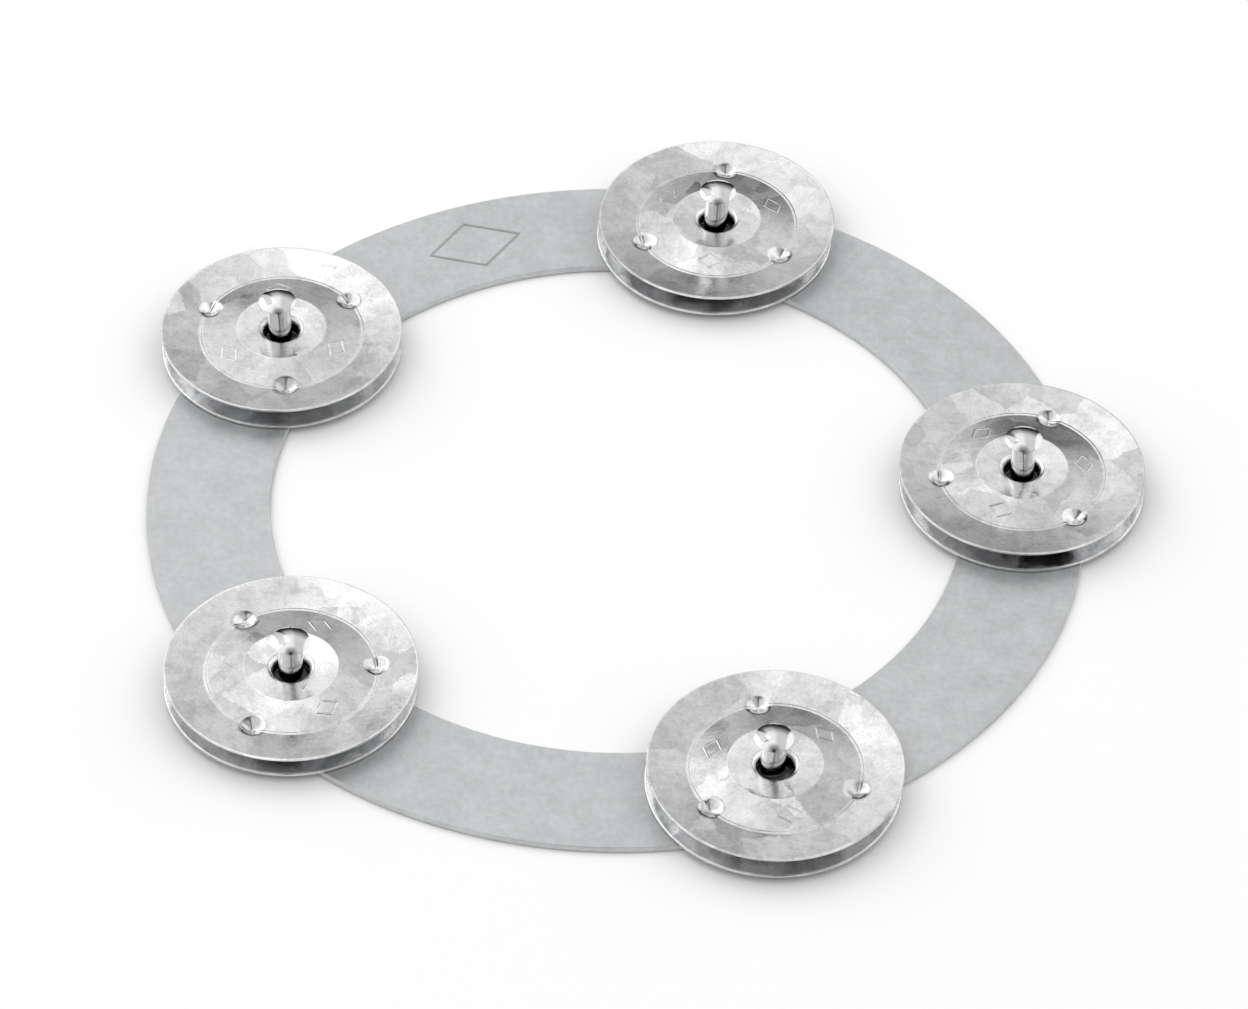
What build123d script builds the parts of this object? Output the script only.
from build123d import *
from math import cos, radians, sin
import os

# Jingle ring: a flat steel ring that is laid on a cymbal, with five upright rivets,
# each holding a loose pair of stamped sheet-steel jingles set back to back.
# Millimetres. The origin is the ring's centre on its underside, and +Z is up.
# Station 1 is on +X, and the stations are numbered counter-clockwise seen from above.

# Ring plate
RING_OUTER_R = 76.2
RING_WIDTH = 20.0
RING_THICK = 1.0
RING_EDGE_BREAK = 0.15
STATION_COUNT = 5

# Rivet: a low domed head on a plain shank, with a smaller tenon closed into the ring
SHANK_R = 1.95
SHANK_LENGTH = 9.85
HEAD_R = 3.05
HEAD_EDGE = 0.15
HEAD_HEIGHT = 0.85
TENON_R = 1.4
TAIL_R = 2.2
TAIL_HEIGHT = 0.6
TENON_GAP = 0.02

# Jingle: radii of its features and how far they lie below the top of its rim.
# The crest stands a little proud of the rim, so the lower jingle rests on its crest.
SHEET = 0.45
RIM_R = 20.0
CREASE_R = 13.5
CREASE_DROP = 1.05
CREST_R = 7.5
CREST_DROP = -0.1
LIP_R = 3.9
LIP_DROP = 0.1
LIP_ROLL = 1.0

# Three round dents in each jingle keep the pair apart
DENT_COUNT = 3
DENT_AT_R = 13.3
DENT_MOUTH_R = 1.9
DENT_DEPTH = 0.85

# Loose pieces rest this far apart
REST_GAP = 0.05

# How each station's loose pair happens to lie: the azimuth of the upper jingle's first dent
# in degrees, and how far each jingle sits off the rivet's axis along X and Y.
UPPER_DENT_AZIMUTHS = (64, 79, 32, 2, 97)
UPPER_SHIFTS = ((-0.1, 0.25), (0.35, 0.05), (0.0, 0.2), (0.1, -0.1), (0.35, -0.4))
LOWER_SHIFTS = ((0.0, 0.0), (0.0, 0.0), (0.0, 0.0), (0.0, 0.0), (0.1, -0.6))
PAIR_TWIST = 60  # the lower jingle's dents lie between the upper one's

RING_INNER_R = RING_OUTER_R - RING_WIDTH
STATION_R = RING_OUTER_R - RING_WIDTH / 2
DENT_BALL_R = (DENT_MOUTH_R**2 + DENT_DEPTH**2) / (2 * DENT_DEPTH)
LOWER_RIM_Z = RING_THICK + REST_GAP - min(CREST_DROP, 0)
UPPER_RIM_Z = LOWER_RIM_Z + 2 * (CREASE_DROP + SHEET) + DENT_DEPTH + REST_GAP


def station_place(index):
    """The place of a station on the ring's top face, not turned."""
    azimuth = radians(360 / STATION_COUNT * index)
    return Pos(STATION_R * cos(azimuth), STATION_R * sin(azimuth), 0)


def turned(outline):
    """A solid of revolution about Z from edges drawn as (radius, height)."""
    return revolve(make_face(Plane.XZ * outline), Axis.Z)


def make_ring_plate():
    disc = Cylinder(RING_OUTER_R, RING_THICK, align=(Align.CENTER, Align.CENTER, Align.MIN))
    opening = Cylinder(RING_INNER_R, RING_THICK, align=(Align.CENTER, Align.CENTER, Align.MIN))
    plate = disc - opening
    top_edges = plate.faces().sort_by(Axis.Z)[-1].edges()
    plate = chamfer(top_edges, RING_EDGE_BREAK)
    hole = turned(
        Polyline(
            (0, -REST_GAP),
            (TAIL_R, -REST_GAP),
            (TAIL_R, 0),
            (TENON_R, TAIL_HEIGHT),
            (TENON_R, RING_THICK + REST_GAP),
            (0, RING_THICK + REST_GAP),
            close=True,
        )
    )
    for index in range(STATION_COUNT):
        plate -= station_place(index) * hole
    return plate


def make_rivet():
    """Head, shank, tenon and a tail closed flush into the ring's countersink."""
    shank_top = RING_THICK + SHANK_LENGTH
    head_top = shank_top + HEAD_HEIGHT
    dome_side_z = shank_top + HEAD_EDGE
    # the dome's arc is part of a circle through the top and the head's edge
    dome_rise = head_top - dome_side_z
    dome_r = (HEAD_R**2 + dome_rise**2) / (2 * dome_rise)
    half_r = HEAD_R / 2
    dome_mid = (half_r, head_top - dome_r + (dome_r**2 - half_r**2) ** 0.5)
    slim = TENON_R - TENON_GAP
    outline = Curve() + [
        Polyline(
            (0, head_top),
            (0, TENON_GAP),
            (TAIL_R - 2 * TENON_GAP, TENON_GAP),
            (slim, TAIL_HEIGHT),
            (slim, RING_THICK),
            (SHANK_R, RING_THICK),
            (SHANK_R, shank_top),
            (HEAD_R, shank_top),
            (HEAD_R, dome_side_z),
        ),
        ThreePointArc((HEAD_R, dome_side_z), dome_mid, (0, head_top)),
    ]
    return turned(outline)


def sheet_side(below):
    """One side of the jingle's sheet from its hole's lip out to its rim, `below` its top side."""
    roll_centre = (LIP_R, -LIP_DROP - LIP_ROLL)
    roll = LIP_ROLL - below
    slant = roll * sin(radians(45))
    lip_top = (LIP_R, -LIP_DROP - below)
    return [
        ThreePointArc(
            (LIP_R - roll, roll_centre[1]),
            (LIP_R - slant, roll_centre[1] + slant),
            lip_top,
        ),
        Polyline(
            lip_top,
            (CREST_R, -CREST_DROP - below),
            (CREASE_R, -CREASE_DROP - below),
            (RIM_R, -below),
        ),
    ]


def make_jingle():
    """A jingle lying rim up, with its rim's top at Z = 0 and its first dent on +X."""
    lip_end_z = -LIP_DROP - LIP_ROLL
    lip_end = Line((LIP_R - LIP_ROLL, lip_end_z), (LIP_R - LIP_ROLL + SHEET, lip_end_z))
    rim_edge = Line((RIM_R, 0), (RIM_R, -SHEET))
    sheet = turned(Curve() + [*sheet_side(0), rim_edge, *sheet_side(SHEET), lip_end])

    ball_z = -CREASE_DROP - DENT_DEPTH + DENT_BALL_R
    bump_top = -CREASE_DROP - SHEET / 4
    below_sheet = Pos(0, 0, bump_top) * Box(
        8 * DENT_MOUTH_R,
        8 * DENT_MOUTH_R,
        8 * DENT_DEPTH,
        align=(Align.CENTER, Align.CENTER, Align.MAX),
    )
    bump = (Pos(0, 0, ball_z) * Sphere(DENT_BALL_R + SHEET)) & below_sheet
    cavity = Pos(0, 0, ball_z) * Sphere(DENT_BALL_R)
    for index in range(DENT_COUNT):
        place = Rot(0, 0, 360 / DENT_COUNT * index) * Pos(DENT_AT_R, 0, 0)
        sheet = sheet + place * bump - place * cavity
    return sheet


os.makedirs("parts", exist_ok=True)
nodes = {"ring_plate": make_ring_plate()}
rivet = make_rivet()
jingle = make_jingle()
jingle_upside_down = Rot(180, 0, 0) * jingle

for index in range(STATION_COUNT):
    number = index + 1
    place = station_place(index)
    azimuth = UPPER_DENT_AZIMUTHS[index]
    lower_place = place * Pos(*LOWER_SHIFTS[index], LOWER_RIM_Z)
    upper_place = place * Pos(*UPPER_SHIFTS[index], UPPER_RIM_Z)
    nodes[f"rivet_{number}"] = place * rivet
    nodes[f"lower_jingle_{number}"] = (
        lower_place * Rot(0, 0, azimuth + PAIR_TWIST) * jingle_upside_down
    )
    nodes[f"upper_jingle_{number}"] = upper_place * Rot(0, 0, azimuth) * jingle

for name, shape in nodes.items():
    shape.label = name
    export_step(shape, f"parts/{name}.step")

free_travel = RING_THICK + SHANK_LENGTH - (UPPER_RIM_Z - LIP_DROP)
print(f"stack {UPPER_RIM_Z - RING_THICK:.2f} mm, free travel under the head {free_travel:.2f} mm")
